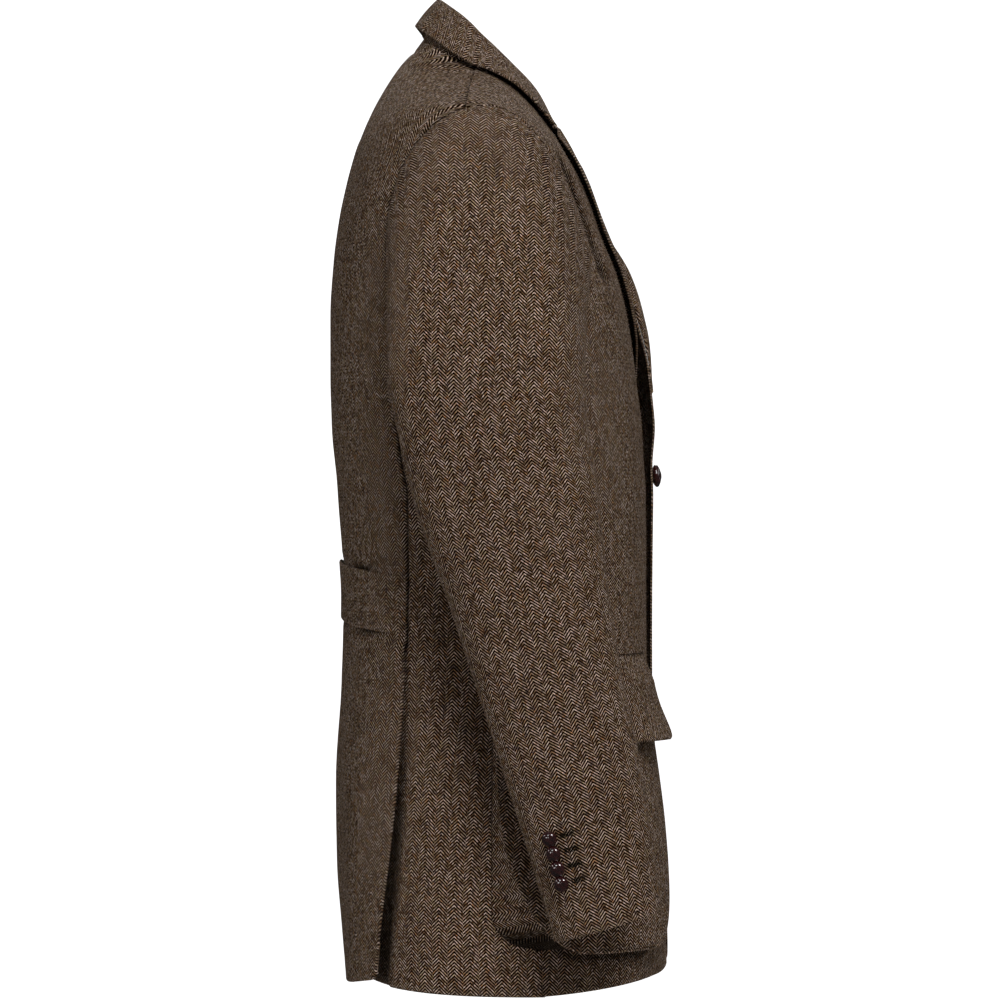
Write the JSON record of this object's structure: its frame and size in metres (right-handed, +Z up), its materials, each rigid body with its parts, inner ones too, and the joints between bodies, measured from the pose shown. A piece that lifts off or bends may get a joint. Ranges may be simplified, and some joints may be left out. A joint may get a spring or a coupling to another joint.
{
  "type": "tweed hunting jacket",
  "caption": "Single-breasted herringbone tweed hunting jacket in its worn shape, hollow, with turned-down collar, lapels, bellows hip pockets with flaps, half belt and side vents.",
  "frame": {"origin": "base of the neck, at the middle of the jacket and level with the neck ends of the shoulder seams", "axes": "+Z up; the wearer faces -Y; +X is the wearer's left"},
  "size_m": [0.599, 0.2824, 0.8102],
  "materials": {
    "tweed": "matt wool tweed in a brown herringbone, soft nap",
    "button_leather": "polished oxblood leather, domed"
  },
  "bodies": {
    "root": {"back_left": "tweed", "back_right": "tweed", "side_left": "tweed", "side_right": "tweed", "front_left": "tweed", "front_right": "tweed", "lapel_left": "tweed", "lapel_right": "tweed", "top_sleeve_left": "tweed", "top_sleeve_right": "tweed", "under_sleeve_left": "tweed", "under_sleeve_right": "tweed", "pocket_patch_left": "tweed", "pocket_patch_right": "tweed", "pocket_gusset_left": "tweed", "pocket_gusset_right": "tweed", "pocket_flap_left": "tweed", "pocket_flap_right": "tweed", "collar": "tweed", "half_belt": "tweed", "cuff_button_left_1": "button_leather", "cuff_button_left_2": "button_leather", "cuff_button_left_3": "button_leather", "cuff_button_left_4": "button_leather", "cuff_button_right_1": "button_leather", "cuff_button_right_2": "button_leather", "cuff_button_right_3": "button_leather", "cuff_button_right_4": "button_leather", "front_button": "button_leather"}
  },
  "joints": []
}
